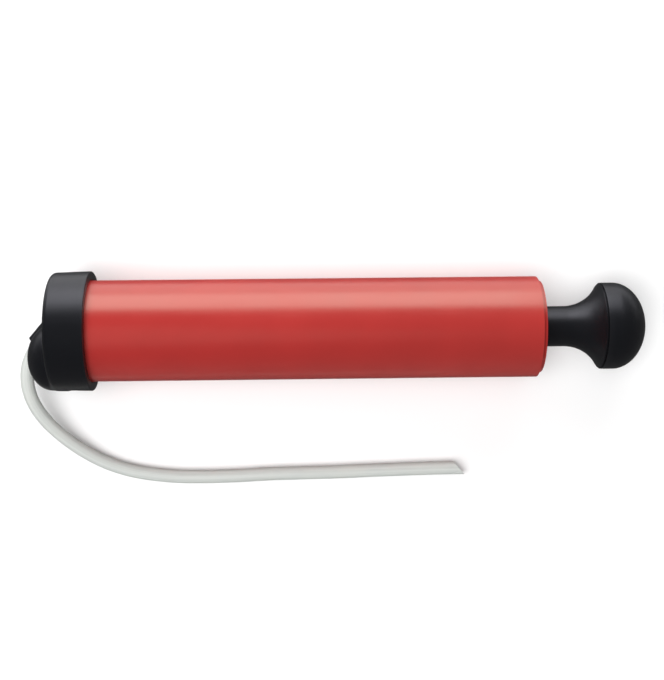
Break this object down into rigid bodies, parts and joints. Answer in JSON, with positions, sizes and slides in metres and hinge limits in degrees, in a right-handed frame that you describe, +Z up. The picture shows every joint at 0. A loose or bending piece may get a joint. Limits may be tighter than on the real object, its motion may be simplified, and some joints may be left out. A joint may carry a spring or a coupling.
{
  "type": "hand air pump",
  "caption": "Hand plunger air pump: smooth closed barrel, push-on end cap with an outlet dome and a hose socket, a loose clear hose, and a hollow plunger with a palm knob.",
  "frame": {"origin": "middle of the pump's footprint on the surface it lies on, the free hose left out", "axes": "+X along the barrel towards the knob, +Y across it away from the hose, +Z up"},
  "size_m": [0.3748, 0.1297, 0.0708],
  "materials": {
    "barrel_red": "smooth satin moulded plastic",
    "black_plastic": "satin moulded plastic, slightly worn at the edges",
    "natural_plastic": "uncoloured moulded plastic",
    "black_rubber": "soft dull rubber",
    "seal_rubber": "greased nitrile rubber",
    "felt": "pressed oiled felt",
    "steel": "zinc-plated",
    "hose_clear": "cloudy soft PVC, see-through at the edges"
  },
  "bodies": {
    "barrel": {"barrel": "barrel_red", "rod_wiper_ring": "felt", "rod_guide_bush": "natural_plastic", "bush_retaining_ring": "steel", "end_bumper": "black_rubber", "end_cap": "black_plastic", "cap_gasket": "black_rubber", "valve_seat_plate": "natural_plastic", "valve_cage": "natural_plastic", "hose": "hose_clear"},
    "valve": {"valve_disc": "seal_rubber"},
    "piston": {"piston_front_plate": "natural_plastic", "piston_rear_plate": "natural_plastic"},
    "seal": {"piston_seal_ring": "seal_rubber"},
    "plunger": {"plunger_rod": "black_plastic", "knob_cap": "black_plastic", "rod_end_plug": "natural_plastic", "thrust_washer": "natural_plastic", "screw_washer": "steel", "piston_screw": "steel"}
  },
  "joints": [
    {"name": "plunger_slide", "type": "slide", "parent": "barrel", "child": "piston", "axis": [0.9998, 0, -0.0208], "range_m": [0, 0.2444]},
    {"name": "handle_turn", "type": "hinge", "parent": "piston", "child": "plunger", "pos_m": [-0.00086, 0, 0.03244], "axis": [0.9998, 0, -0.0208], "continuous": true},
    {"name": "seal_float", "type": "slide", "parent": "piston", "child": "seal", "axis": [-0.9998, 0, 0.0208], "range_m": [0, 0.0016]},
    {"name": "valve_lift", "type": "slide", "parent": "barrel", "child": "valve", "axis": [-0.9998, 0, 0.0208], "range_m": [0, 0.0015]}
  ]
}
